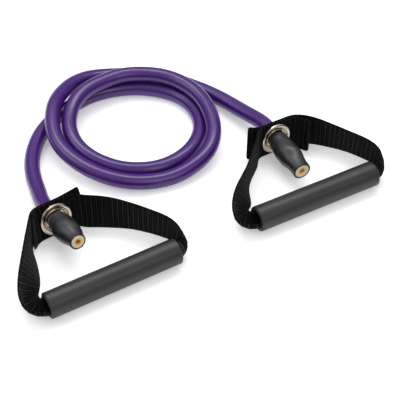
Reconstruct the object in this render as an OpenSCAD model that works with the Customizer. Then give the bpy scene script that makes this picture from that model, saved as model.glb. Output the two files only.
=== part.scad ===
// Elastic tube exerciser with two webbing D-handles.
// The tube lies in loose loops on a flat surface at z = 0. Each cut end of the tube passes
// through an eyelet in its handle's webbing, from behind, and is held by a plug inside the
// tube and a rubber sleeve over it. The webbing runs through a foam grip that turns on it.
// Origin: middle of the two handles' box, on the surface. +X along the longest extent, +Z up.

/* [Tube] */
// Outside diameter of the elastic tube
tube_d = 15.9; // [12.7:0.1:15.9]
// Diameter of the hollow down the middle of the tube
tube_bore_d = 5; // [3:0.5:6]
// Thickness of the coloured skin on the tube
skin_t = 0.6; // [0.3:0.1:1]

/* [Stop plugs] */
// Distance from each cut end of the tube to the middle of its plug
plug_depth = 28; // [27:0.5:29]
// Length of each plug
plug_len = 22; // [16:1:22]
// How much a plug swells the tube's outside, on the radius
plug_swell = 1.9; // [1:0.1:1.9]

/* [Webbing] */
// Width of the webbing
web_w = 38; // [30:0.5:38]
// Thickness of the webbing
web_t = 1.8; // [1.2:0.1:1.8]
// Gap between the two layers under an eyelet
layer_gap = 0.3; // [0.3:0.1:0.6]

/* [Eyelets] */
// Outside diameter of the flanges
flange_d = 34; // [31:0.5:36]
// Diameter of the hole that the tube passes through
eyelet_hole_d = 20.4; // [20.2:0.1:20.6]
// Wall of the rolled barrel
barrel_wall = 0.7; // [0.5:0.1:0.8]

/* [Grips] */
// Length of each grip
grip_len = 134.5; // [133:0.5:135]
// Outside diameter of the foam
grip_d = 25.4; // [24:0.2:25.4]
// Outside diameter of the rigid core tube
core_d = 21.6; // [21.4:0.1:22]
// Inside diameter of the rigid core tube
core_bore_d = 19.6; // [19.4:0.1:20]
// Radius of the foam's rounded ends
foam_round = 1.2; // [0.4:0.1:1.6]

/* [Hidden] */

// Colours
TUBE_PURPLE = [0.33, 0.2, 0.5];
LATEX = [0.87, 0.81, 0.68];
RUBBER_BLACK = [0.16, 0.16, 0.18];
WEB_BLACK = [0.1, 0.1, 0.11];
NICKEL = [0.76, 0.74, 0.7];
GOLD = [0.8, 0.63, 0.32];
FOAM_GREY = [0.29, 0.28, 0.29];
CORE_GREY = [0.2, 0.2, 0.21];

// Smoothness
ROUND = 96;        // facets that stand for a true circle
TUBE_SIDES = 12;   // flats round the swept tube
WEB_STEPS = 3;     // sections for each row of the webbing
WEB_ACROSS = 9;    // points across each face of the webbing

// Handle a is the first entry of each list below, handle b the second.
function heading(az, el) = [cos(az) * cos(el), sin(az) * cos(el), sin(el)];
UP = [0, 0, 1];
eyelet_at = [[-147, -8, 19], [67, 106, 19.5]];
eyelet_dir = [heading(-56.5, 10.5), heading(-60, 3)];
swivel_dir = [heading(-58, 12.5), heading(-64.5, 0.5)];
grip_at = [[-147, -111, grip_d / 2], [44, -3, grip_d / 2]];
grip_dir = [heading(30.3, 0), heading(28.5, 0)];

// How far the cut end of the tube stands in front of its eyelet
nose_reach = [48, 55];
// How much the sleeve squeezes the tube at its cut end, on the radius
nose_squeeze = [0.8, 0];

// ---- Curves -------------------------------------------------------------------------------

function unit(v) = v / norm(v);

// Adds one mirrored point before the first and one after the last, so a curve reaches both.
function with_ends(p) = [2 * p[0] - p[1], each p, 2 * p[len(p) - 1] - p[len(p) - 2]];

function blend4(a, b, c, d, t) =
    (pow(1 - t, 3) * a + (3 * pow(t, 3) - 6 * t * t + 4) * b
     + (-3 * pow(t, 3) + 3 * t * t + 3 * t + 1) * c + pow(t, 3) * d) / 6;

// Point at parameter u on the uniform cubic B-spline through ended points q.
function curve_at(q, u) =
    let (i = max(0, min(floor(u), len(q) - 4)))
    blend4(q[i], q[i + 1], q[i + 2], q[i + 3], u - i);

// Pushes each inner point outward so that the B-spline passes close to the points given.
function tight(p) = [for (i = [0:len(p) - 1])
    (i == 0 || i == len(p) - 1) ? p[i] : p[i] + (2 * p[i] - p[i - 1] - p[i + 1]) / 6];

// Triangles of a grid of points, rows by cols, closed round each row when wrap is true.
function grid_faces(rows, cols, first, wrap, flip) =
    [for (i = [0:rows - 2], j = [0:cols - (wrap ? 1 : 2)])
        let (a = first + i * cols + j, b = first + i * cols + (j + 1) % cols,
             c = b + cols, d = a + cols)
        each (flip ? [[a, c, b], [a, d, c]] : [[a, b, c], [a, c, d]])];

// ---- Tube ---------------------------------------------------------------------------------

// The swelling over a plug and the squeeze at a cut end, by distance from the cut end.
function swell_at(s) = lookup(abs(s - plug_depth), [[0, 1], [6, 0.55], [12, 0]]);
function squeeze_at(s) = lookup(s, [[0, 1], [16, 0]]);
function tube_r_at(k, s) = tube_d / 2 + plug_swell * swell_at(s) - nose_squeeze[k] * squeeze_at(s);
bore_swell = 2.1;
function bore_r_at(k, s) =
    tube_bore_d / 2 + bore_swell * swell_at(s) - nose_squeeze[k] / 2 * squeeze_at(s);

function on_swivel(k, s) = eyelet_at[k] + s * swivel_dir[k];

// Middle line of the tube, from the cut end in handle a to the cut end in handle b.
tube_route = concat(
    [for (s = [48, 32, 16, 0, -16]) on_swivel(0, s)],
    [[-164, 23, 11], [-169, 40.5, 8.5], [-175, 57, 8], [-179, 74, 8], [-180, 93, 8],
     [-178, 112, 8], [-173, 130, 8], [-163, 149, 8], [-149, 166, 8], [-133, 182, 8],
     [-115, 192, 8], [-95, 198, 8], [-75, 199, 8], [-56, 196, 8], [-38, 189, 8],
     [-23, 177, 8], [-13.5, 160, 8], [-8.5, 140, 8], [-10.5, 120, 8], [-19, 100.5, 8],
     [-32, 85, 8], [-49, 74, 8], [-68, 70, 8], [-88, 71.5, 8], [-106, 79, 8],
     [-121.5, 87, 10.5], [-135.5, 100.5, 13], [-144, 118.5, 16], [-146, 140, 18.5],
     [-141.5, 160.5, 22], [-130, 177.5, 24.5], [-112, 191, 24.5], [-92.5, 201.5, 24.5],
     [-70, 203.5, 24], [-47.5, 200, 24], [-27.5, 188, 24], [-11, 171, 23],
     [-1, 150, 21.5], [4.5, 127.5, 19], [4, 106, 16.5], [-3, 88, 13.5], [-17, 72.5, 11],
     [-34, 61, 8], [-56, 53.5, 8], [-79, 51, 10], [-100.5, 54.5, 12.5], [-121, 64, 14.5],
     [-138.5, 78, 16.5], [-151, 92.5, 18.5], [-159.5, 111.5, 21], [-162.5, 132, 23.5],
     [-162, 152.5, 25], [-156.5, 175.5, 21], [-146.5, 196.5, 16.5], [-131.5, 211.5, 12.5],
     [-114, 219.5, 8], [-92, 221, 8], [-68, 221.5, 8], [-44, 216.5, 8], [-24, 204.5, 8],
     [-6, 194.5, 8], [9, 181.5, 10], [23, 167.5, 11.5], [34.5, 154.5, 13.5],
     [44.5, 143.5, 15.5]],
    [for (s = [-25, -9, 7, 23, 39, 55]) on_swivel(1, s)]);
route_last = len(tube_route) - 1;
route_points = with_ends(tube_route);

// Rings stand closer together over the plugs than along the loops.
end_cuts = [0, 1, 1.375, 1.75, 2.125, 2.5, 3];
ring_params = concat(
    end_cuts,
    [for (u = [4:route_last - 4]) u],
    [for (i = [len(end_cuts) - 1:-1:0]) route_last - end_cuts[i]]);

function tube_ring(u, bore) =
    let (here = curve_at(route_points, u),
         k = u < route_last / 2 ? 0 : 1,
         s = norm(here - on_swivel(k, nose_reach[k])),
         step = 0.01,
         along = unit(curve_at(route_points, min(u + step, route_last))
                      - curve_at(route_points, max(u - step, 0))),
         side = unit(cross(UP, along)),
         top = cross(along, side),
         r = bore == "hollow" ? bore_r_at(k, s) : tube_r_at(k, s) - (bore == "skin" ? skin_t : 0))
    [for (j = [0:TUBE_SIDES - 1])
        let (a = 360 * j / TUBE_SIDES) here + r * (cos(a) * side + sin(a) * top)];

function tube_surface(bore) = [for (u = ring_params) each tube_ring(u, bore)];

// Ring of quads between the outer and the inner edge at one end of a hollow sweep.
function rim_faces(outer, inner, cols, flip) =
    [for (j = [0:cols - 1])
        let (n = (j + 1) % cols)
        each (flip ? [[outer + j, inner + n, outer + n], [outer + j, inner + j, inner + n]]
                   : [[outer + j, outer + n, inner + n], [outer + j, inner + n, inner + j]])];

module hollow_sweep(outer, inner, cols) {
    rows = len(outer) / cols;
    total = len(outer);
    last = (rows - 1) * cols;
    polyhedron(points = concat(outer, inner),
               faces = concat(grid_faces(rows, cols, 0, true, true),
                              grid_faces(rows, cols, total, true, false),
                              rim_faces(0, total, cols, false),
                              rim_faces(last, total + last, cols, true)),
               convexity = 12);
}

module tube_skin() {
    color(TUBE_PURPLE) hollow_sweep(tube_surface("outside"), tube_surface("skin"), TUBE_SIDES);
}

module tube_core() {
    color(LATEX) hollow_sweep(tube_surface("skin"), tube_surface("hollow"), TUBE_SIDES);
}

// ---- Stop plugs and sleeves ---------------------------------------------------------------

// Places children with +Z along dir and their origin at point.
module along_axis(point, dir) {
    tilt = acos(dir[2]);
    turn = atan2(dir[1], dir[0]);
    translate(point) rotate([0, tilt, turn]) children();
}

plug_gap = 0.1;
flat_depth = cos(180 / TUBE_SIDES); // the tube's bore has flats, which lie closer in

module stop_plug(k) {
    stations = [-1, -0.8, -0.5, 0, 0.5, 0.8, 1] * plug_len / 2;
    outline = [for (z = stations)
        [bore_r_at(k, plug_depth + z) * flat_depth - plug_gap, z]];
    color(RUBBER_BLACK)
        along_axis(on_swivel(k, nose_reach[k] - plug_depth), swivel_dir[k])
            rotate_extrude($fn = ROUND)
                polygon(concat([[0, -plug_len / 2]], outline, [[0, plug_len / 2]]));
}

// Outside of each sleeve: distance in front of the eyelet's centre, radius.
sleeve_outline = [
    [[-8, 8.9], [-5, 9.1], [-2, 9.3], [1, 9.4], [3.2, 9.5], [5, 10], [8, 10.9], [12, 11.3], [16, 11.9], [21, 12.2],
     [26, 12.1], [31, 11.5], [36, 10.4], [41, 9], [45, 8.3], [48, 8.1]],
    [[-8, 8.9], [-5, 9.1], [-2, 9.3], [1, 9.4], [3.2, 9.5], [5, 9.9], [8, 10.4], [12, 10.7], [17, 11.5], [22, 12],
     [28, 12.2], [33, 11.8], [38, 10.8], [43, 9.8], [49, 9.4], [55, 9.35]]];
SLEEVE_STEPS = 2;
sleeve_gap = 0.1;

function sleeve_outside(k) =
    let (rough = sleeve_outline[k], q = with_ends(tight(rough)), last = len(rough) - 1)
    [for (i = [0:last * SLEEVE_STEPS]) curve_at(q, i / SLEEVE_STEPS)];

// Distances from the cut end at which the tube's own rings stand.
function sleeve_stations(k) =
    [for (s = [nose_reach[k] + 8, 40, 34, 28, 22, 16, 0]) s];

module stop_sleeve(k) {
    inside = [for (s = sleeve_stations(k)) [tube_r_at(k, s) + sleeve_gap, nose_reach[k] - s]];
    backward = [for (i = [len(inside) - 1:-1:0]) inside[i]];
    outside = [for (p = sleeve_outside(k)) [p[1], p[0]]];
    color(RUBBER_BLACK)
        along_axis(eyelet_at[k], swivel_dir[k])
            rotate_extrude($fn = ROUND) polygon(concat(outside, backward));
}

// ---- Webbing ------------------------------------------------------------------------------

// A row is [top edge, bottom edge, bulge]: a section across the webbing, bulging outward.
row_w = 38; // width at which the rows below are drawn
face_gap = 0.25; // from the front layer back to the plane of the eyelet's rim
pack_depth = face_gap + web_t + layer_gap / 2; // from the rim back to between the layers
layer_pitch = web_t + layer_gap;
FRONT = 1;
BACK = -1;

// A row that lies flat under the eyelet: along the webbing, raised by lift, leaning by lean.
function clamp_row(k, layer, along, lift, lean) =
    let (n = eyelet_dir[k], side = unit(cross(UP, n)), top = cross(n, side),
         middle = eyelet_at[k] + (layer * layer_pitch / 2 - pack_depth) * n
                  + along * side + lift * top,
         half = row_w / 2 * top + lean / 2 * side)
    [middle + half, middle - half, 0];

function clamp_rows(k, layer, marks) =
    [for (m = marks) clamp_row(k, layer, m[0], m[1], m[2])];

// A row that is curled up inside the grip's bore, s from the grip's first end.
curl_half = 125;
curl_r = 8.5;
function bore_row(k, s, turn, r = curl_r) =
    let (d = grip_dir[k], away = [d[1], -d[0], 0], middle = grip_at[k] + s * d)
    [middle + r * (cos(turn + curl_half) * away + sin(turn + curl_half) * UP),
     middle + r * (cos(turn - curl_half) * away + sin(turn - curl_half) * UP),
     r * (1 - cos(curl_half))];

function bore_rows(k) =
    [bore_row(k, grip_len - 4, 8), bore_row(k, grip_len - 30, 0),
     bore_row(k, grip_len - 60, -30), bore_row(k, grip_len - 90, -70),
     bore_row(k, 18, -103), bore_row(k, 3, -110, 8.3)];

// Each strap is listed from its front or back free end round the D to its other free end.
webbing_rows = [
    concat(
        [[[-166.2, -21.5, 36.7], [-166, -33, 0.9], 0]],
        clamp_rows(0, FRONT, [for (along = [-21, -10, 0, 10, 21]) [along, 0.4, 0]]),
        tight(concat(
            [[[-122, 5, 38], [-121, -2, 0.6], 0],
             [[-108, 4, 38], [-108, -1.5, 0.5], 0],
             [[-94, 1.5, 38], [-94, -2, 0.4], 0],
             [[-80, -3.5, 38], [-80, -3, 0.4], 0],
             [[-66, -9.5, 37.8], [-67, -6, 0.4], 0],
             [[-52.5, -16, 37.4], [-54, -10.5, 0.4], 0],
             [[-40, -22, 36], [-42, -16, 0.5], 0.8],
             [[-30.5, -29, 31.5], [-33, -24, 2], 2.5],
             [[-27.5, -35.5, 26], [-28.5, -31, 4], 5],
             [[-30, -39.5, 20], [-30, -38, 5.8], 8.5]],
            bore_rows(0),
            [[[-145.5, -119.8, 15], [-152, -108, 19.4], 11.8],
             [[-156, -121, 17], [-154.5, -101.5, 16.5], 10.5],
             [[-166.5, -117, 22.5], [-156, -94, 9], 8],
             [[-171, -106, 29.5], [-157, -84, 2.6], 3.5],
             [[-171.5, -89, 35.5], [-157.5, -73, 0.7], 0.5],
             [[-171, -71, 36], [-160, -60, 0.5], 0],
             [[-170.5, -52, 36.3], [-164, -46, 0.5], 0],
             [[-169.5, -35, 36.9], [-169, -31.5, 0.5], 0],
             [[-169, -25, 37.5], [-167.5, -26.5, 0.8], 0]])),
        clamp_rows(0, BACK, [[-21, 0.6, 0], [-10, 0.6, -0.2], [0, 0.6, -0.3], [10, 0.8, -0.8],
                             [20, 2, -2.2]]),
        [[[-125.5, 9, 45.5], [-119, 8, 9], 0]]),
    concat(
        [[[38, 102, 37.5], [37, 93, 0.7], 0]],
        clamp_rows(1, BACK, [for (along = [-21, -10, 0, 10, 21]) [along, 0.1, 0]]),
        tight(concat(
            [[[93, 120.5, 38.3], [94, 118.5, 0.5], 0],
             [[106, 116, 38.3], [107, 117.5, 0.4], 0],
             [[120, 108, 38], [121, 113.5, 0.4], 0],
             [[134, 99, 37.7], [135, 108.5, 0.4], 0],
             [[147, 91, 37.2], [148, 101.5, 0.5], 0],
             [[158.5, 84, 35.8], [159.5, 93, 0.6], 0.8],
             [[167.5, 76.5, 31.5], [166.5, 84, 2.5], 2.5],
             [[169, 69.5, 25.5], [168.5, 74, 4.2], 4.5],
             [[164, 64.5, 20], [164.5, 66, 5.8], 8.5]],
            bore_rows(1),
            [[[45.5, -11.9, 15], [38.9, 0.2, 19.4], 11.8],
             [[34.5, -14, 17], [36.5, 6, 16.5], 10.5],
             [[24.5, -10, 21.5], [37.8, 14.8, 9], 8],
             [[20.8, 1.5, 29.5], [39, 23, 2.8], 3.5],
             [[24.5, 19, 34.8], [40, 31.5, 0.7], 0.5],
             [[31, 34, 36.6], [38.5, 43, 0.5], 0],
             [[37, 49, 37.5], [38.5, 54, 0.5], 0],
             [[41, 64, 38], [41.5, 66, 0.5], 0],
             [[45.5, 80, 38], [46.5, 79, 0.5], 0],
             [[47.5, 87, 38], [48, 86, 0.5], 0]])),
        clamp_rows(1, FRONT, [for (along = [-21, -10, 0, 10, 21]) [along, 0.1, 0]]),
        [[[92, 115.2, 38.2], [92, 110.5, 0.6], 0],
         [[101.5, 111.5, 37.5], [101, 105.5, 0.8], 0]])];

function middle_of(row) = [row[0] + row[3], row[1] + row[4], row[2] + row[5]] / 2;

// One closed section: points up the outer face, then down the inner face.
function web_section(q, u, last) =
    let (row = curve_at(q, u), step = 0.01,
         travel = middle_of(curve_at(q, min(u + step, last)))
                  - middle_of(curve_at(q, max(u - step, 0))),
         chord = [row[0] - row[3], row[1] - row[4], row[2] - row[5]],
         across = unit(chord), out = unit(cross(across, unit(travel))),
         size = web_w / row_w, half = norm(chord) / 2 * size, bulge = max(row[6], 0.02) * size,
         r = (half * half + bulge * bulge) / (2 * bulge), spread = atan2(half, r - bulge),
         centre = middle_of(row) + (bulge - r) * out,
         fan = [for (j = [0:WEB_ACROSS - 1]) spread * (2 * j / (WEB_ACROSS - 1) - 1)],
         rays = [for (a = fan) cos(a) * out + sin(a) * across])
    [for (v = rays) centre + (r + web_t / 2) * v,
     for (j = [WEB_ACROSS - 1:-1:0]) centre + (r - web_t / 2) * rays[j]];

// Quads that close one end of a strip whose sections hold cols points.
function strip_end(first, cols, flip) =
    [for (j = [0:cols / 2 - 2])
        let (a = first + j, b = a + 1, c = first + cols - 2 - j, d = c + 1)
        each (flip ? [[a, c, b], [a, d, c]] : [[a, b, c], [a, c, d]])];

module strip_sweep(sections) {
    rows = len(sections);
    cols = len(sections[0]);
    polyhedron(points = [for (s = sections) each s],
               faces = concat(grid_faces(rows, cols, 0, true, true),
                              strip_end(0, cols, false),
                              strip_end((rows - 1) * cols, cols, true)),
               convexity = 12);
}

web_hole_gap = 0.3;
hole_reach = 4; // how far the cut for the eyelet's hole runs past each side of the layers

module webbing(k) {
    rows = [for (r = webbing_rows[k]) [each r[0], each r[1], r[2]]];
    last = len(rows) - 1;
    q = with_ends(rows);
    color(WEB_BLACK) difference() {
        strip_sweep([for (i = [0:last * WEB_STEPS]) web_section(q, i / WEB_STEPS, last)]);
        along_axis(eyelet_at[k] - pack_depth * eyelet_dir[k], eyelet_dir[k])
            cylinder(r = barrel_r + web_hole_gap, h = 2 * (layer_pitch + hole_reach),
                     center = true, $fn = ROUND);
    }
}

// ---- Eyelets ------------------------------------------------------------------------------

hole_r = eyelet_hole_d / 2;
barrel_r = hole_r + barrel_wall;
flange_r = flange_d / 2;

// Profile heights are measured forward from the plane of the eyelet's rim.
rim_base = 0.2;   // underside of the domed washer
rim_t = 0.55;     // thickness of the washer at its rim and its inner lip
dome_h = 1.7;     // height of the dome over its rim
groove_r = 12.3;  // where the dome ends at the groove round the barrel's lip
lip_r = 11.8;     // outside of the barrel's rolled lip
lip_gap = 0.08;
lip_base = rim_base + rim_t + lip_gap;
lip_h = 1;        // height of the rolled lip
plate_t = 1;      // thickness of the rear flange
plate_gap = 0.1;
plate_r = flange_r - 0.4;
plate_front = -face_gap - 2 * web_t - layer_gap - plate_gap;
ARC_STEPS = 10;

module eyelet_washer(k) {
    mid_r = (flange_r + groove_r) / 2;
    half = (flange_r - groove_r) / 2;
    dome = [for (i = [0:ARC_STEPS])
        let (a = 180 * i / ARC_STEPS)
        [mid_r + half * cos(a), rim_base + rim_t + dome_h * pow(sin(a), 0.8)]];
    color(NICKEL)
        along_axis(eyelet_at[k], eyelet_dir[k])
            rotate_extrude($fn = ROUND)
                polygon(concat([[barrel_r + lip_gap, rim_base], [flange_r, rim_base]], dome,
                               [[barrel_r + lip_gap, rim_base + rim_t]]));
}

module eyelet_barrel(k) {
    lip_mid = (hole_r + lip_r) / 2;
    lip_half = (lip_r - hole_r) / 2;
    roll = [for (i = [0:ARC_STEPS])
        let (a = 180 * i / ARC_STEPS)
        [lip_mid + lip_half * cos(a), lip_base + lip_h * sin(a)]];
    color(GOLD)
        along_axis(eyelet_at[k], eyelet_dir[k])
            rotate_extrude($fn = ROUND)
                polygon(concat(
                    [[hole_r, plate_front - plate_t], [hole_r + 3, plate_front - plate_t],
                     [plate_r - 1, plate_front - 0.7 * plate_t], [plate_r, plate_front - 0.3],
                     [plate_r, plate_front - 0.1], [plate_r - 1, plate_front],
                     [barrel_r, plate_front], [barrel_r, lip_base]],
                    roll));
}

// ---- Grips --------------------------------------------------------------------------------

foam_inset = 0.5; // how far the core's end stands out of the foam
foam_gap = 0.05;
bore_past = 1;

module grip_core(k) {
    color(CORE_GREY)
        along_axis(grip_at[k], grip_dir[k]) difference() {
            cylinder(d = core_d, h = grip_len, $fn = ROUND);
            translate([0, 0, -bore_past])
                cylinder(d = core_bore_d, h = grip_len + 2 * bore_past, $fn = ROUND);
        }
}

module grip_foam(k) {
    ROUND_STEPS = 5;
    outer = grip_d / 2;
    inner = core_d / 2 + foam_gap;
    low = foam_inset;
    high = grip_len - foam_inset;
    corner = [for (i = [0:ROUND_STEPS]) foam_round * [cos(90 * i / ROUND_STEPS),
                                                     sin(90 * i / ROUND_STEPS)]];
    top = [for (c = corner) [outer - foam_round + c[0], high - foam_round + c[1]]];
    base = [for (c = corner) [outer - foam_round + c[1], low + foam_round - c[0]]];
    color(FOAM_GREY)
        along_axis(grip_at[k], grip_dir[k])
            rotate_extrude($fn = ROUND)
                polygon(concat([[inner, low]], base, top, [[inner, high]]));
}

// ---- Nodes --------------------------------------------------------------------------------

tube_skin();
tube_core();
stop_plug(0);  // stop_plug_a
stop_sleeve(0);  // stop_sleeve_a
webbing(0);  // webbing_a
eyelet_washer(0);  // eyelet_washer_a
eyelet_barrel(0);  // eyelet_barrel_a
grip_core(0);  // grip_core_a
grip_foam(0);  // grip_foam_a
stop_plug(1);  // stop_plug_b
stop_sleeve(1);  // stop_sleeve_b
webbing(1);  // webbing_b
eyelet_washer(1);  // eyelet_washer_b
eyelet_barrel(1);  // eyelet_barrel_b
grip_core(1);  // grip_core_b
grip_foam(1);  // grip_foam_b
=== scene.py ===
import math

import bpy
import numpy as np
from mathutils import Matrix
from mathutils.kdtree import KDTree


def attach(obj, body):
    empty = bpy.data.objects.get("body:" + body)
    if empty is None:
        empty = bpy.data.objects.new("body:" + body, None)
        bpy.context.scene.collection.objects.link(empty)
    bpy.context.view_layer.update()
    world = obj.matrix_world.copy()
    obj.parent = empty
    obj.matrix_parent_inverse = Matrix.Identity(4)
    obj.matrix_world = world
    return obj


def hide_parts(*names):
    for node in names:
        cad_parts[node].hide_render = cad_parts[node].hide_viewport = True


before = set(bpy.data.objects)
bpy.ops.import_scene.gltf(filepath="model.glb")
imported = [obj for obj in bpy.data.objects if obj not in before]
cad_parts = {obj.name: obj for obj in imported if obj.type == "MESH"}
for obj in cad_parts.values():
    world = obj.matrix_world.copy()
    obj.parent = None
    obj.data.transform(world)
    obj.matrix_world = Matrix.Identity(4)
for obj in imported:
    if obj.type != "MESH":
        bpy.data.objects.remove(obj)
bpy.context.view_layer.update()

# The resistance band's visible pieces, built in the CAD frame. Lengths are in millimetres,
# except where a comment says metres. Handle a is the left one and handle b the right one.

MM = 0.001
scene = bpy.context.scene

# ---- Camera -------------------------------------------------------------------------------

CAMERA_PITCH = 45           # degrees below the horizon
CAMERA_DISTANCE = 1.1833    # metres
CAMERA_LENS = 108
SENSOR_W = 36
LOOK_AT = (-0.010, 0.036, 0.0)    # metres

camera_data = bpy.data.cameras.new("camera")
camera_data.sensor_width = SENSOR_W
camera_data.lens = CAMERA_LENS
camera = bpy.data.objects.new("camera", camera_data)
pitch = math.radians(CAMERA_PITCH)
camera.location = (LOOK_AT[0],
                   LOOK_AT[1] - CAMERA_DISTANCE * math.cos(pitch),
                   LOOK_AT[2] + CAMERA_DISTANCE * math.sin(pitch))
camera.rotation_euler = (math.pi / 2 - pitch, 0, 0)
scene.collection.objects.link(camera)
scene.camera = camera

# ---- Curves and frames --------------------------------------------------------------------


def unit(v):
    v = np.asarray(v, float)
    return v / np.linalg.norm(v, axis=-1, keepdims=True)


def heading(azimuth, elevation):
    a, e = math.radians(azimuth), math.radians(elevation)
    return np.array([math.cos(a) * math.cos(e), math.sin(a) * math.cos(e), math.sin(e)])


def with_ends(points):
    """The control points with one more at each end, so that the curve starts and ends on one."""
    p = np.asarray(points, float)
    return np.vstack([2 * p[0] - p[1], p, 2 * p[-1] - p[-2]])


def tight(points):
    """Pushes the inner points outward so that the B-spline passes close to the points given."""
    p = np.asarray(points, float)
    q = p.copy()
    q[1:-1] += (2 * p[1:-1] - p[:-2] - p[2:]) / 6
    return q


def curve_at(points, u):
    """Points at parameters u on the uniform cubic B-spline of these control points."""
    q = with_ends(points)
    u = np.asarray(u, float)
    i = np.clip(u.astype(int), 0, len(q) - 4)
    t = (u - i)[:, None]
    return ((1 - t) ** 3 * q[i] + (3 * t**3 - 6 * t**2 + 4) * q[i + 1]
            + (-3 * t**3 + 3 * t**2 + 3 * t + 1) * q[i + 2] + t**3 * q[i + 3]) / 6


FINE_STEPS = 60      # samples between two control points, to measure a curve


def even_params(points, step):
    """Parameters about step apart along the curve's first three coordinates, and their
    distances from its start."""
    u = np.linspace(0, len(points) - 1, (len(points) - 1) * FINE_STEPS + 1)
    line = curve_at(points, u)[:, :3]
    s = np.concatenate([[0], np.cumsum(np.linalg.norm(np.diff(line, axis=0), axis=1))])
    at = np.linspace(0, s[-1], round(s[-1] / step) + 1)
    return np.interp(at, s, u), at


# Where each handle and tube end lies, as in the CAD source. EYELET_DIR is the eyelet's axis,
# and SWIVEL_DIR the axis of the tube's end inside it.
UP = np.array([0.0, 0.0, 1.0])
HANDLES = ("a", "b")
EYELET_AT = {"a": np.array([-147, -8, 19.0]), "b": np.array([67, 106, 19.5])}
EYELET_DIR = {"a": heading(-56.5, 10.5), "b": heading(-60, 3)}
SWIVEL_DIR = {"a": heading(-58, 12.5), "b": heading(-64.5, 0.5)}
GRIP_D = 25.4
GRIP_LEN = 134.5
GRIP_AT = {"a": np.array([-147, -111, GRIP_D / 2]), "b": np.array([44, -3, GRIP_D / 2])}
GRIP_DIR = {"a": heading(30.3, 0), "b": heading(28.5, 0)}
NOSE_REACH = {"a": 48, "b": 55}       # from the eyelet's centre to the tube's cut end
NOSE_SQUEEZE = {"a": 0.8, "b": 0}     # how much thinner the sleeve squeezes the cut end


def cross_frame(direction):
    """Two unit vectors across a direction: sideways, and towards the top."""
    side = unit(np.cross(UP, direction))
    return side, np.cross(direction, side)


def placed(x_axis, y_axis, z_axis, origin):
    """The matrix of an object with these axes and origin."""
    matrix = np.eye(4)
    matrix[:3] = np.column_stack([x_axis, y_axis, z_axis, origin])
    return Matrix(matrix.tolist())


# ---- Meshes -------------------------------------------------------------------------------


def grid(rows, cols, first=0, flip=False):
    """Quads of a grid of points, closed round each row."""
    i, j = np.meshgrid(np.arange(rows - 1), np.arange(cols), indexing="ij")
    a, b = i * cols + j, i * cols + (j + 1) % cols
    quads = np.stack([a, b, b + cols, a + cols], axis=-1).reshape(-1, 4) + first
    return quads[:, ::-1] if flip else quads


def make_piece(name, points, faces, lie, material):
    """A smooth mesh object from points in millimetres. lie holds each point's place in the
    piece's own coordinates, in millimetres, for its material."""
    mesh = bpy.data.meshes.new(name)
    mesh.from_pydata((np.asarray(points) * MM).tolist(), [], [tuple(f) for f in faces])
    attribute = mesh.attributes.new("lie", "FLOAT_VECTOR", "POINT")
    attribute.data.foreach_set("vector", np.asarray(lie, np.float32).ravel())
    mesh.polygons.foreach_set("use_smooth", [True] * len(mesh.polygons))
    mesh.materials.append(material)
    piece = bpy.data.objects.new(name, mesh)
    scene.collection.objects.link(piece)
    mesh.validate()
    mesh.update()
    return piece


# ---- Materials ----------------------------------------------------------------------------


class Look:
    """A material under construction, with short calls for its nodes."""

    def __init__(self, name):
        self.material = bpy.data.materials.new(name)
        self.material.use_nodes = True
        self.tree = self.material.node_tree
        self.shader = self.tree.nodes["Principled BSDF"]

    def node(self, kind, inputs=(), **settings):
        made = self.tree.nodes.new(kind)
        for key, value in settings.items():
            setattr(made, key, value)
        for key, value in dict(inputs).items():
            self.feed(made.inputs[key], value)
        return made

    def feed(self, socket, value):
        if isinstance(value, bpy.types.NodeSocket):
            self.tree.links.new(value, socket)
        else:
            socket.default_value = value

    def math(self, operation, *values):
        return self.node("ShaderNodeMath", enumerate(values), operation=operation).outputs[0]

    def lie(self):
        """The point's place in the piece's own coordinates, in millimetres."""
        return self.node("ShaderNodeAttribute", attribute_name="lie").outputs["Vector"]

    def place(self):
        """The point's place in the part's frame, in millimetres."""
        spot = self.node("ShaderNodeTexCoord").outputs["Object"]
        return self.scaled(spot, (1 / MM,) * 3)

    def scaled(self, vector, factors):
        return self.node("ShaderNodeVectorMath", {0: vector, 1: factors},
                         operation="MULTIPLY").outputs[0]

    def noise(self, vector, scale=1.0, detail=3.0, roughness=0.55):
        return self.node("ShaderNodeTexNoise",
                         {"Vector": vector, "Scale": scale, "Detail": detail,
                          "Roughness": roughness}).outputs["Fac"]

    def ramp(self, factor, *stops):
        made = self.node("ShaderNodeValToRGB", {"Fac": factor})
        elements = made.color_ramp.elements
        while len(elements) < len(stops):
            elements.new(0.5)
        for element, (at, colour) in zip(elements, stops):
            element.position = at
            element.color = (*colour, 1)
        return made.outputs["Color"]

    def span(self, factor, low, high, from_low=0.0, from_high=1.0):
        """factor stretched from from_low..from_high to low..high."""
        return self.node("ShaderNodeMapRange",
                         {"Value": factor, "From Min": from_low, "From Max": from_high,
                          "To Min": low, "To Max": high}).outputs["Result"]

    def mix(self, factor, a, b):
        made = self.node("ShaderNodeMix", data_type="RGBA")
        self.feed(made.inputs[0], factor)
        for socket, colour in ((made.inputs[6], a), (made.inputs[7], b)):
            self.feed(socket, (*colour, 1) if isinstance(colour, tuple) else colour)
        return made.outputs[2]

    def bump(self, height, distance, strength=1.0, under=None):
        inputs = {"Height": height, "Distance": distance * MM, "Strength": strength}
        if under is not None:
            inputs["Normal"] = under
        return self.node("ShaderNodeBump", inputs).outputs["Normal"]

    def finish(self, **sockets):
        for key, value in sockets.items():
            self.feed(self.shader.inputs[key.replace("_", " ")], value)
        return self.material


def radius_of(look):
    """Distance of a turned piece's point from its axis, in millimetres."""
    flat = look.scaled(look.lie(), (1, 1, 0))
    return look.node("ShaderNodeVectorMath", {0: flat}, operation="LENGTH").outputs["Value"]


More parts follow.
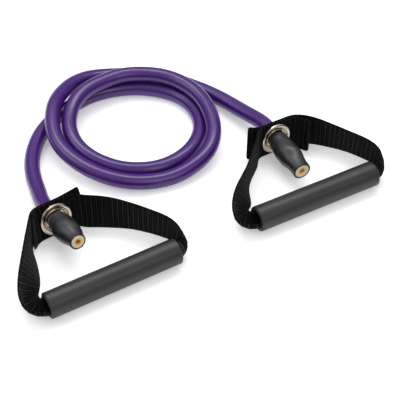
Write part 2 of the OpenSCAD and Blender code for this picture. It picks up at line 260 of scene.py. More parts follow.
def tube_look():
    """Purple skin with lengthwise streaks and a paler bloom."""
    look = Look("tube_purple")
    lie = look.lie()
    streaks = look.noise(look.scaled(lie, (0.55, 0.55, 0.012)), detail=4)
    bloom = look.noise(look.scaled(lie, (0.12, 0.12, 0.02)), detail=2)
    grain = look.noise(lie, 2.4, detail=3)
    colour = look.ramp(streaks, (0.3, (0.031, 0.003, 0.108)), (0.52, (0.041, 0.0045, 0.133)),
                       (0.75, (0.056, 0.008, 0.162)))
    colour = look.mix(look.span(bloom, 0, 0.3, 0.45, 0.75), colour, (0.074, 0.013, 0.168))
    rough = look.math("ADD", look.span(streaks, 0.22, 0.33, 0.3, 0.7),
                      look.span(grain, -0.05, 0.05))
    normal = look.bump(streaks, 0.12, 0.5, under=look.bump(grain, 0.05, 0.5))
    return look.finish(Base_Color=colour, Roughness=rough, Normal=normal,
                       Specular_IOR_Level=0.5)


LATEX_REACH = 8.0      # radius at the end of the colour ramp
RING_TURN = 6.5        # radians of the ring pattern for each millimetre outward


def latex_look():
    """Cream latex in faint rings, darker orange round the bore."""
    look = Look("latex_core")
    wobble = look.noise(look.lie(), 0.9, detail=2)
    at = look.math("ADD", radius_of(look), look.span(wobble, -0.5, 0.5))
    share = look.math("DIVIDE", at, LATEX_REACH)
    rings = look.math("SINE", look.math("MULTIPLY", at, RING_TURN))
    colour = look.ramp(share, (0.26, (0.8, 0.3, 0.03)), (0.33, (0.84, 0.42, 0.08)),
                       (0.42, (0.9, 0.68, 0.35)), (0.62, (0.95, 0.8, 0.52)),
                       (0.9, (0.92, 0.74, 0.42)))
    colour = look.mix(look.span(rings, 0, 0.25, -1, 1), colour, (0.75, 0.52, 0.25))
    grain = look.noise(look.lie(), 3.5, detail=3)
    return look.finish(Base_Color=colour, Roughness=look.span(grain, 0.45, 0.6),
                       Normal=look.bump(look.math("ADD", rings, grain), 0.06, 0.4),
                       Subsurface_Weight=0.15, Subsurface_Scale=0.002)


def sleeve_look():
    """Cloudy black rubber with fine pits."""
    look = Look("sleeve_rubber")
    lie = look.lie()
    cloud = look.noise(look.scaled(lie, (0.16, 0.16, 0.11)), detail=4)
    pits = look.noise(lie, 1.6, detail=4, roughness=0.65)
    colour = look.ramp(cloud, (0.32, (0.012, 0.0115, 0.015)), (0.55, (0.02, 0.0195, 0.024)),
                       (0.78, (0.034, 0.033, 0.039)))
    rough = look.math("ADD", look.span(cloud, 0.3, 0.46), look.span(pits, -0.06, 0.06))
    normal = look.bump(cloud, 0.5, 0.45, under=look.bump(pits, 0.09, 0.6))
    return look.finish(Base_Color=colour, Roughness=rough, Normal=normal)


RIB_PITCH = 2.55     # between the ribs across the webbing: every second one stands higher
YARN_PITCH = 1.5     # between the yarns along it


def webbing_look():
    """Black nylon: rib crests and raised yarns painted paler as highlight and the grooves painted
    darker as shade, yarns that step at each rib, wear and darker bands.
    """
    look = Look("webbing_black")
    lie = look.lie()
    axes = look.node("ShaderNodeSeparateXYZ", {0: lie}).outputs
    across, along = axes[0], axes[1]
    rib = look.math("COSINE", look.math("MULTIPLY", along, 2 * math.pi / RIB_PITCH))
    pair = look.math("COSINE", look.math("MULTIPLY", along, math.pi / RIB_PITCH))
    turn = look.math("MULTIPLY", look.math("FLOOR", look.math("DIVIDE", along, RIB_PITCH / 2)),
                     math.pi / 2)
    yarn = look.math("COSINE", look.math("ADD", turn,
                     look.math("MULTIPLY", across, 2 * math.pi / YARN_PITCH)))
    # Painted highlight: the rib crests are painted paler in colour, stronger on every second rib.
    painted_crest_highlight = look.math("MULTIPLY", look.math("POWER", look.span(rib, 0, 1, -1, 1), 1.3),
                      look.span(pair, 0.45, 1, -1, 1))
    weave = look.math("ADD", look.math("MULTIPLY", rib, 0.6), look.math("MULTIPLY", yarn, 0.4))
    fibres = look.noise(look.scaled(lie, (5.0, 1.1, 1.0)), detail=3)
    wear = look.noise(look.scaled(lie, (0.09, 0.05, 0.1)), detail=3)
    bands = look.noise(look.scaled(lie, (0.012, 0.3, 0.1)), detail=2)
    height = look.math("ADD", weave, look.math("MULTIPLY", fibres, 0.6))
    # Painted light on the weave's relief: raised ribs and yarns are painted paler and grooves
    # darker, mixed with random fibre tone.
    relief_light_and_fibre_tone = look.math("ADD", painted_crest_highlight, look.span(look.math("ADD", yarn, fibres), -0.25, 0.3, -1, 2))
    colour = look.ramp(relief_light_and_fibre_tone, (0.1, (0.002, 0.0018, 0.0021)), (0.5, (0.01, 0.0093, 0.0102)),
                       (1.0, (0.034, 0.0315, 0.034)))
    colour = look.mix(look.span(wear, 0, 0.7, 0.42, 0.7), colour, (0.013, 0.012, 0.013))
    colour = look.mix(look.span(bands, 0, 0.7, 0.4, 0.62), colour, (0.0045, 0.0043, 0.0048))
    normal = look.bump(height, 0.22, 0.9)
    return look.finish(Base_Color=colour, Roughness=look.span(fibres, 0.6, 0.8), Normal=normal,
                       Specular_IOR_Level=look.span(relief_light_and_fibre_tone, 0.0, 0.03, 0.2, 1.0),
                       Sheen_Weight=0.08, Sheen_Roughness=0.35)


def metal_look(name, dark, light, roughness):
    """Plated metal, clouded and finely scratched."""
    look = Look(name)
    spot = look.place()
    cloud = look.noise(spot, 0.22, detail=4)
    scratches = look.noise(look.scaled(spot, (0.5, 2.2, 3.1)), detail=5, roughness=0.7)
    colour = look.mix(look.span(cloud, 0, 1, 0.35, 0.7), dark, light)
    rough = look.math("ADD", look.span(scratches, roughness - 0.06, roughness + 0.1),
                      look.span(cloud, -0.03, 0.03))
    return look.finish(Base_Color=colour, Roughness=rough, Metallic=1.0,
                       Normal=look.bump(scratches, 0.03, 0.35))


def foam_look():
    """Dark foam with lengthwise streaks, paler patches and small cells whose pits are painted
    darker as shade.
    """
    look = Look("grip_foam")
    lie = look.lie()
    streaks = look.noise(look.scaled(lie, (0.3, 0.3, 0.012)), detail=4)
    patches = look.noise(look.scaled(lie, (0.06, 0.06, 0.02)), detail=2)
    cells_and_pit_shade = look.noise(lie, 2.6, detail=4, roughness=0.7)
    colour = look.ramp(streaks, (0.3, (0.012, 0.0115, 0.0125)), (0.5, (0.018, 0.017, 0.0185)),
                       (0.72, (0.027, 0.0255, 0.027)))
    colour = look.mix(look.span(patches, 0, 0.5, 0.4, 0.75), colour, (0.034, 0.0295, 0.031))
    # Painted shade: where the cells dip into pits, the colour is painted darker.
    colour = look.mix(look.span(cells_and_pit_shade, 0.25, 0, 0.25, 0.5), colour, (0.008, 0.008, 0.008))
    rough = look.math("ADD", look.span(streaks, 0.36, 0.5), look.span(cells_and_pit_shade, -0.05, 0.05))
    normal = look.bump(streaks, 0.25, 0.35, under=look.bump(cells_and_pit_shade, 0.05, 0.5))
    return look.finish(Base_Color=colour, Roughness=rough, Normal=normal,
                       Specular_IOR_Level=0.4)


MOULDED_LIFT = 1.6     # how much paler the light grain is than the base colour


def moulded_look(name, base):
    """Moulded plastic with a fine grain."""
    look = Look(name)
    grain = look.noise(look.place(), 1.5, detail=3)
    light = tuple(MOULDED_LIFT * c for c in base)
    colour = look.mix(look.span(grain, 0, 1, 0.35, 0.7), base, light)
    return look.finish(Base_Color=colour, Roughness=look.span(grain, 0.35, 0.5),
                       Normal=look.bump(grain, 0.04, 0.4))


TABLE_GLOW = 0.3     # the table is lit from below as well


def floor_look():
    look = Look("floor")
    spot = look.node("ShaderNodeTexCoord").outputs["Object"]
    mottle = look.noise(spot, 3.0, detail=2)
    colour = look.mix(mottle, (0.9, 0.9, 0.9), (0.93, 0.93, 0.93))
    return look.finish(Base_Color=colour, Roughness=0.75, Specular_IOR_Level=0.15,
                       Emission_Color=(1, 1, 1, 1), Emission_Strength=TABLE_GLOW)


# ---- Tube ---------------------------------------------------------------------------------

TUBE_R = 15.9 / 2
SKIN_T = 0.6
CORE_GAP = 0.01       # between the skin and the core
BORE_R = 2.5
PLUG_DEPTH = 28       # from the cut end to the plug's middle
PLUG_REACH = 12       # half the length that the plug swells
PLUG_SWELL = 1.9      # of the tube's outside there
BORE_SWELL = 2.1      # of its bore
SQUEEZE_REACH = 16    # length of the squeeze at the cut end
RING_STEP = 2.5
TUBE_SIDES = 40


def on_swivel(k, s):
    """The point s in front of the eyelet's centre, on the axis of the tube's end."""
    return EYELET_AT[k] + s * SWIVEL_DIR[k]


TUBE_ROUTE = np.array(
    [on_swivel("a", s) for s in (48, 32, 16, 0, -16)]
    + [(-164, 23, 11), (-169, 40.5, 8.5), (-175, 57, 8), (-179, 74, 8), (-180, 93, 8),
       (-178, 112, 8), (-173, 130, 8), (-163, 149, 8), (-149, 166, 8), (-133, 182, 8),
       (-115, 192, 8), (-95, 198, 8), (-75, 199, 8), (-56, 196, 8), (-38, 189, 8),
       (-23, 177, 8), (-13.5, 160, 8), (-8.5, 140, 8), (-10.5, 120, 8), (-19, 100.5, 8),
       (-32, 85, 8), (-49, 74, 8), (-68, 70, 8), (-88, 71.5, 8), (-106, 79, 8),
       (-121.5, 87, 10.5), (-135.5, 100.5, 13), (-144, 118.5, 16), (-146, 140, 18.5),
       (-141.5, 160.5, 22), (-130, 177.5, 24.5), (-112, 191, 24.5), (-92.5, 201.5, 24.5),
       (-70, 203.5, 24), (-47.5, 200, 24), (-27.5, 188, 24), (-11, 171, 23),
       (-1, 150, 21.5), (4.5, 127.5, 19), (4, 106, 16.5), (-3, 88, 13.5), (-17, 72.5, 11),
       (-34, 61, 8), (-56, 53.5, 8), (-79, 51, 10), (-100.5, 54.5, 12.5), (-121, 64, 14.5),
       (-138.5, 78, 16.5), (-151, 92.5, 18.5), (-159.5, 111.5, 21), (-162.5, 132, 23.5),
       (-162, 152.5, 25), (-156.5, 175.5, 21), (-146.5, 196.5, 16.5), (-131.5, 211.5, 12.5),
       (-114, 219.5, 8), (-92, 221, 8), (-68, 221.5, 8), (-44, 216.5, 8), (-24, 204.5, 8),
       (-6, 194.5, 8), (9, 181.5, 10), (23, 167.5, 11.5), (34.5, 154.5, 13.5),
       (44.5, 143.5, 15.5)]
    + [on_swivel("b", s) for s in (-25, -9, 7, 23, 39, 55)])


def swell_at(s):
    """Share of the plug's swelling at each distance from the cut end."""
    t = np.clip((s - PLUG_DEPTH) / PLUG_REACH, -1, 1)
    return 0.5 + 0.5 * np.cos(math.pi * t)


def squeeze_at(k, s):
    return NOSE_SQUEEZE[k] * np.clip(1 - s / SQUEEZE_REACH, 0, 1)


def tube_radius(k, s):
    return TUBE_R + PLUG_SWELL * swell_at(s) - squeeze_at(k, s)


def bore_radius(k, s):
    return BORE_R + BORE_SWELL * swell_at(s) - squeeze_at(k, s) / 2


def by_end(profile, s, length):
    """A radius profile of each cut end, joined in the middle of the tube."""
    return np.where(s < length / 2, profile("a", s), profile("b", length - s))


def hollow_tube(name, centres, s, outer, inner, material):
    """A closed tube wall round centres, with its own outer and inner radius at each ring."""
    sides = TUBE_SIDES
    along = unit(np.gradient(centres, axis=0))
    side = unit(np.cross(UP, along))
    top = np.cross(along, side)
    turn = np.linspace(0, 2 * math.pi, sides, endpoint=False)
    rings, lies = [], []
    for radius in (outer, inner):
        x, y = np.outer(radius, np.cos(turn)), np.outer(radius, np.sin(turn))
        rings.append(centres[:, None] + x[..., None] * side[:, None] + y[..., None] * top[:, None])
        lies.append(np.stack([x, y, np.repeat(s[:, None], sides, axis=1)], axis=-1))
    count = len(centres)
    total = count * sides
    faces = [grid(count, sides), grid(count, sides, first=total, flip=True)]
    j = np.arange(sides)
    n = (j + 1) % sides
    last = total - sides
    faces.append(np.stack([j, total + j, total + n, n], axis=-1))
    faces.append(np.stack([last + j, last + n, total + last + n, total + last + j], axis=-1))
    return make_piece(name, np.concatenate([r.reshape(-1, 3) for r in rings]),
                      np.concatenate(faces), np.concatenate([v.reshape(-1, 3) for v in lies]),
                      material)


def sharp_rims(piece, limit):
    """Splits the shading where faces meet at more than limit degrees."""
    piece.data.set_sharp_from_angle(angle=math.radians(limit))


params, stations = even_params(TUBE_ROUTE, RING_STEP)
tube_line = curve_at(TUBE_ROUTE, params)
tube_length = stations[-1]
outer_r = by_end(tube_radius, stations, tube_length)
core_r = outer_r - SKIN_T
inner_r = by_end(bore_radius, stations, tube_length)

tube = hollow_tube("tube", tube_line, stations, outer_r, core_r, tube_look())
tube_core = hollow_tube("tube_core_latex", tube_line, stations, core_r - CORE_GAP, inner_r,
                        latex_look())
for piece in (tube, tube_core):
    sharp_rims(piece, 50)
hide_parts("tube_skin")
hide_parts("tube_core")

# ---- Turned pieces ------------------------------------------------------------------------

TURN_SIDES = 96


def turned(name, profile, origin, direction, material, dents):
    """A solid of revolution from (radius, height) points along its outline, anticlockwise.
    dents(angle, height, radius) gives how far each point moves outward."""
    side, top = cross_frame(direction)
    turn = np.linspace(0, 2 * math.pi, TURN_SIDES, endpoint=False)
    outline = np.asarray(profile, float)
    radius = np.repeat(outline[:, :1], TURN_SIDES, axis=1)
    height = np.repeat(outline[:, 1:2], TURN_SIDES, axis=1)
    radius = radius + dents(turn[None, :], height, radius)
    x, y = radius * np.cos(turn), radius * np.sin(turn)
    points = origin + x[..., None] * side + y[..., None] * top + height[..., None] * direction
    faces = grid(len(outline) + 1, TURN_SIDES) % (len(outline) * TURN_SIDES)
    lie = np.stack([x, y, height], axis=-1)
    piece = make_piece(name, points.reshape(-1, 3), faces[:, ::-1], lie.reshape(-1, 3), material)
    sharp_rims(piece, 40)
    return piece


ARC_STEPS = 6


def arc(centre, radius, start, end):
    a = np.radians(np.linspace(start, end, ARC_STEPS + 1))
    return np.stack([centre[0] + radius * np.cos(a), centre[1] + radius * np.sin(a)], axis=-1)


# ---- Stop sleeves -------------------------------------------------------------------------

# Outside of each sleeve: distance in front of the eyelet's centre, radius.
SLEEVE_OUTLINE = {
    "a": [(-8, 8.9), (-5, 9.1), (-2, 9.3), (1, 9.4), (3.2, 9.5), (5, 10), (8, 10.9), (12, 11.3),
          (16, 11.9), (21, 12.2), (26, 12.1), (31, 11.5), (36, 10.4), (41, 9), (45, 8.3),
          (48, 8.1)],
    "b": [(-8, 8.9), (-5, 9.1), (-2, 9.3), (1, 9.4), (3.2, 9.5), (5, 9.9), (8, 10.4), (12, 10.7),
          (17, 11.5), (22, 12), (28, 12.2), (33, 11.8), (38, 10.8), (43, 9.8), (49, 9.4),
          (55, 9.35)]}
SLEEVE_SEED = {"a": 11, "b": 29}
SLEEVE_STEPS = 5      # points between two of the outline's
SLEEVE_RINGS = 40     # rings of the inside
SLEEVE_FIT = 0.05     # between the sleeve and the tube
NOSE_SETBACK = 0.05   # of the inside's first ring from the nose
EDGE_ROUND = 0.45
DENT_DEPTH = 0.7
DENT_WAVES = 9
DENT_START, DENT_FADE_IN = 7, 6       # the dents grow over this length
DENT_END, DENT_FADE_OUT = 50, 12      # and shrink towards the nose, to DENT_LEAST
DENT_LEAST = 0.25
FULL_TURN = 6.28      # radians, the range of a random phase


def sleeve_dents(seed):
    """Soft low bumps of moulded rubber, none near the eyelet."""
    draw = np.random.default_rng(seed)
    waves = [(draw.integers(1, 5), draw.uniform(0.1, 0.42), draw.uniform(0, FULL_TURN),
              draw.uniform(0.4, 1)) for _ in range(DENT_WAVES)]
    total = sum(w[3] for w in waves)

    def dents(turn, height, radius):
        bump = sum(size * np.cos(n * turn + f * height + phase) for n, f, phase, size in waves)
        rise = np.clip((height - DENT_START) / DENT_FADE_IN, 0, 1)
        fall = np.clip((DENT_END - height) / DENT_FADE_OUT, DENT_LEAST, 1)
        return DENT_DEPTH * bump / total * (rise * fall)

    return dents


def make_sleeve(k, material):
    """The stop sleeve, whose inside follows the swollen tube."""
    rough = np.array(SLEEVE_OUTLINE[k], float)
    u = np.linspace(0, len(rough) - 1, (len(rough) - 1) * SLEEVE_STEPS + 1)
    outside = curve_at(tight(rough), u)[:, ::-1]
    reach = NOSE_REACH[k]
    nose_r = outside[-1, 0]
    outside = outside[outside[:, 1] < reach - EDGE_ROUND]
    lip = arc((nose_r - EDGE_ROUND, reach - EDGE_ROUND), EDGE_ROUND, 0, 90)
    heights = np.linspace(reach - NOSE_SETBACK, outside[0, 1], SLEEVE_RINGS)
    s = reach - heights
    inside = np.stack([tube_radius(k, s) + SLEEVE_FIT, heights], axis=-1)
    dents = sleeve_dents(SLEEVE_SEED[k])
    wall = len(outside) + len(lip)

    def outer_only(turn, height, radius):
        moved = dents(turn, height, radius)
        moved[wall:] = 0
        return moved

    profile = np.concatenate([outside, lip, inside])
    return turned("sleeve_" + k, profile, EYELET_AT[k], SWIVEL_DIR[k], material, outer_only)


# ---- Webbing ------------------------------------------------------------------------------

# A row is one place across the webbing: its top and bottom edges, and how far its middle
# bulges outward between them. The rows run from one free end to the other.
WEB_W = 38
WEB_T = 1.8
LAYER_GAP = 0.3       # between the two layers under the eyelet
FACE_GAP = 0.25       # between the front layer and the eyelet's centre
PACK_DEPTH = FACE_GAP + WEB_T + LAYER_GAP / 2
LAYER_PITCH = WEB_T + LAYER_GAP
FRONT, BACK = 1, -1
CLAMP_MARKS = (-21, -10, 0, 10, 21)      # places along the webbing under the eyelet
CURL_HALF = 125       # degrees each way that the webbing curls inside the grip
CURL_R = 8.5


def flat_row(top, bottom, bulge):
    return [*top, *bottom, bulge]


def clamp_rows(k, layer, marks):
    """Rows that lie flat under the eyelet: along the webbing, raised by lift, leaning by lean."""
    n = EYELET_DIR[k]
    side, top = cross_frame(n)
    rows = []
    for along, lift, lean in marks:
        middle = (EYELET_AT[k] + (layer * LAYER_PITCH / 2 - PACK_DEPTH) * n
                  + along * side + lift * top)
        half = WEB_W / 2 * top + lean / 2 * side
        rows.append(flat_row(middle + half, middle - half, 0))
    return rows


def bore_rows(k):
    """Rows that are curled up inside the grip's bore."""
    d = GRIP_DIR[k]
    away = np.array([d[1], -d[0], 0])
    rows = []
    for s, turn, r in ((GRIP_LEN - 4, 8, CURL_R), (GRIP_LEN - 30, 0, CURL_R),
                       (GRIP_LEN - 60, -30, CURL_R), (GRIP_LEN - 90, -70, CURL_R),
                       (18, -103, CURL_R), (3, -110, 8.3)):
        middle = GRIP_AT[k] + s * d
        ends = []
        for a in np.radians((turn + CURL_HALF, turn - CURL_HALF)):
            ends.append(middle + r * (math.cos(a) * away + math.sin(a) * UP))
        rows.append(flat_row(*ends, r * (1 - math.cos(math.radians(CURL_HALF)))))
    return rows


def free_rows(*rows):
    return [flat_row(*r) for r in rows]


def web_rows_a():
    leg = (free_rows(((-122, 5, 38), (-121, -2, 0.6), 0),
                     ((-108, 4, 38), (-108, -1.5, 0.5), 0),
                     ((-94, 1.5, 38), (-94, -2, 0.4), 0),
                     ((-80, -3.5, 38), (-80, -3, 0.4), 0),
                     ((-66, -9.5, 37.8), (-67, -6, 0.4), 0),
                     ((-52.5, -16, 37.4), (-54, -10.5, 0.4), 0),
                     ((-40, -22, 36), (-42, -16, 0.5), 0.8),
                     ((-30.5, -29, 31.5), (-33, -24, 2), 2.5),
                     ((-27.5, -35.5, 26), (-28.5, -31, 4), 5),
                     ((-30, -39.5, 20), (-30, -38, 5.8), 8.5))
           + bore_rows("a")
           + free_rows(((-145.5, -119.8, 15), (-152, -108, 19.4), 11.8),
                       ((-156, -121, 17), (-154.5, -101.5, 16.5), 10.5),
                       ((-166.5, -117, 22.5), (-156, -94, 9), 8),
                       ((-171, -106, 29.5), (-157, -84, 2.6), 3.5),
                       ((-171.5, -89, 35.5), (-157.5, -73, 0.7), 0.5),
                       ((-171, -71, 36), (-160, -60, 0.5), 0),
                       ((-170.5, -52, 36.3), (-164, -46, 0.5), 0),
                       ((-169.5, -35, 36.9), (-169, -31.5, 0.5), 0),
                       ((-169, -25, 37.5), (-167.5, -26.5, 0.8), 0)))
    return np.vstack([
        free_rows(((-166.2, -21.5, 36.7), (-166, -33, 0.9), 0)),
        clamp_rows("a", FRONT, [(s, 0.4, 0) for s in CLAMP_MARKS]),
        tight(leg),
        clamp_rows("a", BACK, [(-21, 0.6, 0), (-10, 0.6, -0.2), (0, 0.6, -0.3), (10, 0.8, -0.8),
                               (20, 2, -2.2)]),
        free_rows(((-125.5, 9, 45.5), (-119, 8, 9), 0))])


def web_rows_b():
    leg = (free_rows(((93, 120.5, 38.3), (94, 118.5, 0.5), 0),
                     ((106, 116, 38.3), (107, 117.5, 0.4), 0),
                     ((120, 108, 38), (121, 113.5, 0.4), 0),
                     ((134, 99, 37.7), (135, 108.5, 0.4), 0),
                     ((147, 91, 37.2), (148, 101.5, 0.5), 0),
                     ((158.5, 84, 35.8), (159.5, 93, 0.6), 0.8),
                     ((167.5, 76.5, 31.5), (166.5, 84, 2.5), 2.5),
                     ((169, 69.5, 25.5), (168.5, 74, 4.2), 4.5),
                     ((164, 64.5, 20), (164.5, 66, 5.8), 8.5))
           + bore_rows("b")
           + free_rows(((45.5, -11.9, 15), (38.9, 0.2, 19.4), 11.8),
                       ((34.5, -14, 17), (36.5, 6, 16.5), 10.5),
                       ((24.5, -10, 21.5), (37.8, 14.8, 9), 8),
                       ((20.8, 1.5, 29.5), (39, 23, 2.8), 3.5),
                       ((24.5, 19, 34.8), (40, 31.5, 0.7), 0.5),
                       ((31, 34, 36.6), (38.5, 43, 0.5), 0),
                       ((37, 49, 37.5), (38.5, 54, 0.5), 0),
                       ((41, 64, 38), (41.5, 66, 0.5), 0),
                       ((45.5, 80, 38), (46.5, 79, 0.5), 0),
                       ((47.5, 87, 38), (48, 86, 0.5), 0)))
    return np.vstack([
        free_rows(((38, 102, 37.5), (37, 93, 0.7), 0)),
        clamp_rows("b", BACK, [(s, 0.1, 0) for s in CLAMP_MARKS]),
        tight(leg),
        clamp_rows("b", FRONT, [(s, 0.1, 0) for s in CLAMP_MARKS]),
        free_rows(((92, 115.2, 38.2), (92, 110.5, 0.6), 0),
                  ((101.5, 111.5, 37.5), (101, 105.5, 0.8), 0))])


WEB_ACROSS = 15       # points across each face
WEB_EDGE = 5          # points round each selvedge
WEB_STEP = RIB_PITCH / 4
RIB_HEIGHT = 0.18
RIB_MARGIN = 1.2      # smooth width along each selvedge
FLATTEST = 0.02       # least bulge, because a flat row has no centre
END_SEAL = 1.6        # length of the heat-sealed end
END_THIN = 0.65       # its thickness, as a share
CORNER_R = 3.2        # rounding of its corners


def web_loop():
    """(place across, place through) round one section, with rounded selvedges."""
    half, r = WEB_W / 2, WEB_T / 2
    flat = np.linspace(-half + r, half - r, WEB_ACROSS)
    edge = np.radians(np.linspace(90, -90, WEB_EDGE + 2))[1:-1]
    right = np.stack([half - r + r * np.cos(edge), r * np.sin(edge)], axis=-1)
    front = np.stack([flat, np.full(WEB_ACROSS, r)], axis=-1)
    return np.concatenate([front, right, -front, -right])


def web_mesh(name, rows, material):
    """The webbing swept through its rows, each section an arc, and its length."""
    middle_line = (rows[:, :3] + rows[:, 3:6]) / 2
    table = np.hstack([middle_line, rows])
    u, s = even_params(table, WEB_STEP)
    swept = curve_at(table, u)
    middle, top, bottom, bulge = swept[:, :3], swept[:, 3:6], swept[:, 6:9], swept[:, 9]
    travel = unit(np.gradient(middle, axis=0))
    half = np.linalg.norm(top - bottom, axis=1) / 2
    across = unit(top - bottom)
    out = unit(np.cross(across, travel))
    bulge = np.maximum(bulge, FLATTEST)
    r = (half**2 + bulge**2) / (2 * bulge)
    spread = np.arctan2(half, r - bulge)
    centre = middle + (bulge - r)[:, None] * out
    loop = web_loop()
    from_end = np.minimum(s, s[-1] - s)
    seal = END_THIN + (1 - END_THIN) * np.clip(from_end / END_SEAL, 0, 1)
    turn = math.pi * s / RIB_PITCH
    ribs = RIB_HEIGHT * (np.cos(2 * turn) + np.cos(turn)) / 2 * np.clip(from_end / END_SEAL, 0, 1)
    ribbed_points = np.abs(loop[:, 0]) < WEB_W / 2 - RIB_MARGIN
    back = np.clip(1 - from_end / CORNER_R, 0, 1)
    narrow = 1 - CORNER_R * (1 - np.sqrt(1 - back**2)) / (WEB_W / 2)
    points = []
    for (x, through), ribbed in zip(loop, ribbed_points):
        angle = x / (WEB_W / 2) * spread * narrow
        ray = np.cos(angle)[:, None] * out + np.sin(angle)[:, None] * across
        depth = through * seal + (np.sign(through) * ribs - RIB_HEIGHT * np.sign(through)
                                  if ribbed else 0)
        points.append(centre + (r + depth)[:, None] * ray)
    points = np.stack(points, axis=1)
    count, cols = points.shape[:2]
    lie = np.zeros((count, cols, 3))
    lie[..., 0] = loop[:, 0]
    lie[..., 1] = s[:, None]
    lie[..., 2] = loop[:, 1]
    faces = [tuple(f) for f in grid(count, cols, flip=True)]
    faces += [tuple(range(cols)), tuple(range(count * cols - 1, (count - 1) * cols - 1, -1))]
    piece = make_piece(name, points.reshape(-1, 3), faces, lie.reshape(-1, 3), material)
    return piece, s[-1]


HOLE_R = 11.2
HOLE_DEPTH = 12       # of the cutter, past both layers
HOLE_SIDES = 96


def copy_lie(old, mesh):
    """Gives each point of mesh the lie of the nearest point of old: the boolean clears it."""
    finder = KDTree(len(old.vertices))
    for vertex in old.vertices:
        finder.insert(vertex.co, vertex.index)
    finder.balance()
    known = old.attributes["lie"].data
    for vertex, place in zip(mesh.vertices, mesh.attributes["lie"].data):
        place.vector = known[finder.find(vertex.co)[1]].vector


def punch(piece, k):
    """Cuts the eyelet's hole through both layers."""
    bpy.ops.mesh.primitive_cylinder_add(vertices=HOLE_SIDES, radius=HOLE_R * MM,
                                        depth=HOLE_DEPTH * MM)
    cutter = bpy.context.object
    side, top = cross_frame(EYELET_DIR[k])
    middle = (EYELET_AT[k] - PACK_DEPTH * EYELET_DIR[k]) * MM
    cutter.matrix_world = placed(side, top, EYELET_DIR[k], middle)
    bpy.context.view_layer.update()
    cut = piece.modifiers.new("eyelet_hole", "BOOLEAN")
    cut.object = cutter
    cut.operation = "DIFFERENCE"
    cut.solver = "EXACT"
    graph = bpy.context.evaluated_depsgraph_get()
    mesh = bpy.data.meshes.new_from_object(piece.evaluated_get(graph))
    piece.modifiers.clear()
    old = piece.data
    copy_lie(old, mesh)
    piece.data = mesh
    bpy.data.meshes.remove(old)
    bpy.data.objects.remove(cutter)


# ---- Grips --------------------------------------------------------------------------------

CORE_R = 10.8
FOAM_INSET = 0.5      # of the foam from each end of the grip
FOAM_GAP = 0.05       # between the foam and the core
FOAM_ROUND = 1.2
FOAM_STEP = 3.0
FOAM_DIP = 0.12
FOAM_WAVES = 6
FOAM_SEED = {"a": 5, "b": 8}
DIP_FROM = 1          # only points this far outside the core are moved
BEVEL_RUN, BEVEL_RISE = 0.25, 0.3     # of the bore's mouths


def foam_dents(seed):
    """Shallow lengthwise waves in the foam, all inward."""
    draw = np.random.default_rng(seed)
    waves = [(draw.integers(2, 7), draw.uniform(0.01, 0.05), draw.uniform(0, FULL_TURN))
             for _ in range(FOAM_WAVES)]

    def dents(turn, height, radius):
        wave = sum(np.cos(n * turn + f * height + phase) for n, f, phase in waves) / len(waves)
        return -FOAM_DIP * (0.5 + 0.5 * wave) * (radius > CORE_R + DIP_FROM)

    return dents


def make_foam(k, material):
    """The grip's foam, with rounded ends."""
    outer, inner = GRIP_D / 2, CORE_R + FOAM_GAP
    low, high = FOAM_INSET, GRIP_LEN - FOAM_INSET
    r = FOAM_ROUND
    heights = np.arange(low + 2 * r, high - 2 * r, FOAM_STEP)
    wall = np.stack([np.full(len(heights), outer), heights], axis=-1)
    profile = np.concatenate([
        [(inner, low + BEVEL_RISE), (inner + BEVEL_RUN, low)],
        arc((outer - r, low + r), r, -90, 0),
        wall,
        arc((outer - r, high - r), r, 0, 90),
        [(inner + BEVEL_RUN, high), (inner, high - BEVEL_RISE)]])
    return turned("foam_" + k, profile, GRIP_AT[k], GRIP_DIR[k], material,
                  foam_dents(FOAM_SEED[k]))


# ---- Assembly -----------------------------------------------------------------------------

sleeve_rubber = sleeve_look()
web_black = webbing_look()
nickel = metal_look("nickel_plate", (0.46, 0.41, 0.35), (0.68, 0.63, 0.56), 0.17)
gold = metal_look("gold_plate", (0.5, 0.36, 0.18), (0.88, 0.71, 0.44), 0.18)
foam_grey = foam_look()
core_plastic = moulded_look("core_plastic", (0.018, 0.018, 0.02))
plug_plastic = moulded_look("plug_plastic", (0.03, 0.03, 0.032))


def finish_node(name, material):
    """Gives a CAD node that stays its own look."""
    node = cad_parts[name]
    node.data.materials.clear()
    node.data.materials.append(material)
    node.data.polygons.foreach_set("use_smooth", [True] * len(node.data.polygons))
    sharp_rims(node, 35)


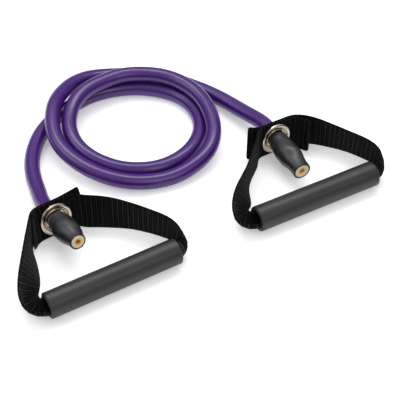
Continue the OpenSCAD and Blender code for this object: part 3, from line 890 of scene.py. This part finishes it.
for k in HANDLES:
    sleeve = make_sleeve(k, sleeve_rubber)
    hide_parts("stop_sleeve_" + k)
    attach(sleeve, "tube")

    rows = web_rows_a() if k == "a" else web_rows_b()
    strap, strap_length = web_mesh("strap_" + k, rows, web_black)
    punch(strap, k)
    sharp_rims(strap, 60)
    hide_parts("webbing_" + k)
    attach(strap, "handle_" + k)

    foam = make_foam(k, foam_grey)
    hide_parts("grip_foam_" + k)
    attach(foam, "grip_" + k)

    finish_node("eyelet_washer_" + k, nickel)
    finish_node("eyelet_barrel_" + k, gold)
    finish_node("grip_core_" + k, core_plastic)
    finish_node("stop_plug_" + k, plug_plastic)

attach(tube, "tube")
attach(tube_core, "tube")

# ---- Floor and light ----------------------------------------------------------------------

FLOOR_SIZE = 12         # metres
FLOOR_DROP = 0.0002     # metres below the part, so that no faces coincide

bpy.ops.mesh.primitive_plane_add(size=FLOOR_SIZE, location=(0, 0, -FLOOR_DROP))
floor = bpy.context.object
floor.name = "floor"
floor.data.materials.append(floor_look())

TENT_STRENGTH = 0.85
TENT_STOPS = ((0.1, 0.12), (0.75, 1.0))     # (height, grey): darker near the horizon

world = bpy.data.worlds.new("studio")
world.use_nodes = True
tent = world.node_tree
spot = tent.nodes.new("ShaderNodeTexCoord")
axes = tent.nodes.new("ShaderNodeSeparateXYZ")
shade = tent.nodes.new("ShaderNodeValToRGB")
tent.links.new(spot.outputs["Generated"], axes.inputs[0])
tent.links.new(axes.outputs["Z"], shade.inputs["Fac"])
tent.links.new(shade.outputs["Color"], tent.nodes["Background"].inputs["Color"])
tent.nodes["Background"].inputs["Strength"].default_value = TENT_STRENGTH
for element, (at, grey) in zip(shade.color_ramp.elements, TENT_STOPS):
    element.position = at
    element.color = (grey, grey, grey, 1)
scene.world = world
scene.view_settings.view_transform = "Standard"


def softbox(name, at, towards, size, power):
    """A rectangular light. Places and sizes are in metres, and power in watts."""
    data = bpy.data.lights.new(name, "AREA")
    data.shape = "RECTANGLE"
    data.size, data.size_y = size
    data.energy = power
    box = bpy.data.objects.new(name, data)
    aim = np.array(towards, float) - np.array(at, float)
    back = -unit(aim)
    side = unit(np.cross((0, 1, 0), back))
    box.matrix_world = placed(side, np.cross(back, side), back, at)
    scene.collection.objects.link(box)


softbox("overhead", (0.0, 0.7, 1.4), (-0.02, 0.05, 0), (1.6, 0.4), 14)
softbox("front", (0.7, -1.2, 1.3), (0, 0, 0), (1.0, 0.8), 5)
softbox("side", (-1.3, 0.1, 1.1), (0, 0, 0), (0.8, 1.0), 5)
